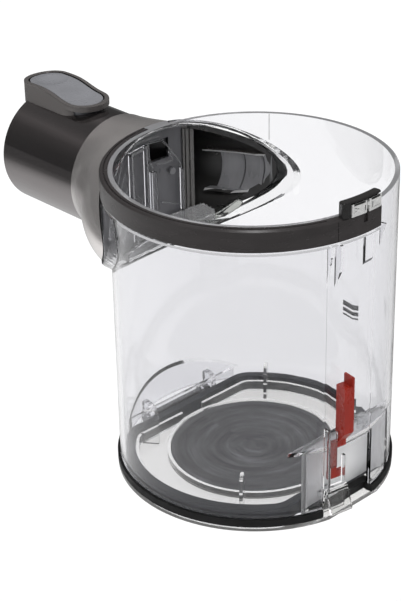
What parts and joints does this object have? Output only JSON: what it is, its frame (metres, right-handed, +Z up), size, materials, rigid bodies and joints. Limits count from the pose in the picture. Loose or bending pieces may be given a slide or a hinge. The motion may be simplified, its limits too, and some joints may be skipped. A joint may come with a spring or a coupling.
{
  "type": "cyclone dust bin",
  "caption": "Clear cylindrical dust bin with a side inlet socket and release button, rim wiring to spring contacts, hinged sealed base and a red release slider.",
  "frame": {"origin": "on the cylinder's axis, at the underside of the closed base", "axes": "+Z up along the cylinder, -X out along the inlet socket, +X towards the release slider"},
  "size_m": [0.2032, 0.1205, 0.1416],
  "materials": {
    "clear_plastic": "clear moulded polycarbonate, polished",
    "dark_gloss": "dark warm grey moulding with a metallic gloss",
    "dark_matte": "dark grey moulding, satin",
    "grey_plastic": "cool grey moulding, satin",
    "black_plastic": "black moulding, matt",
    "red_plastic": "red moulding, semi-gloss",
    "black_rubber": "black elastomer",
    "slate_rubber": "slate grey elastomer",
    "disc_rubber": "mid grey elastomer with faint turned marks",
    "contact_metal": "bright plated spring strip",
    "steel": "plain steel wire and pin stock",
    "wire_red": "insulated wire",
    "wire_black": "insulated wire"
  },
  "bodies": {
    "bin": {"bin_shell": "clear_plastic", "inlet_nozzle": "dark_gloss", "nozzle_sleeve": "dark_gloss", "inlet_duct": "dark_matte", "saddle_seal": "black_rubber", "socket_seal": "black_rubber", "button_pin": "steel", "button_spring": "steel", "socket_contact_block": "black_plastic", "socket_contact_pins": "contact_metal", "wire_cover": "dark_matte", "contact_block": "dark_matte", "contact_terminal_a": "contact_metal", "contact_terminal_b": "contact_metal", "wire_a": "wire_red", "wire_b": "wire_black", "hinge_pin": "steel", "slider_spring": "steel", "slider_guide": "clear_plastic"},
    "lid": {"base_lid": "clear_plastic", "lid_seal": "slate_rubber", "lid_gasket": "black_rubber", "lid_disc": "disc_rubber"},
    "slider": {"release_slider": "red_plastic"},
    "button": {"wand_button": "grey_plastic"}
  },
  "joints": [
    {"name": "lid_hinge", "type": "hinge", "parent": "bin", "child": "lid", "pos_m": [-0.0499, 0, 0.0054], "axis": [0, 1, 0], "range_deg": [0, 95]},
    {"name": "slider_travel", "type": "slide", "parent": "bin", "child": "slider", "axis": [0, 0, -1], "range_m": [0, 0.006], "stiffness_N_per_m": 100, "springref_m": -0.006, "deforming": ["slider_spring"]},
    {"name": "button_rock", "type": "hinge", "parent": "bin", "child": "button", "pos_m": [-0.114, 0, 0.1326], "axis": [0, -1, 0], "range_deg": [0, 7], "stiffness_Nm_per_rad": 0.06, "springref_deg": -11.46, "deforming": ["button_spring"]}
  ]
}
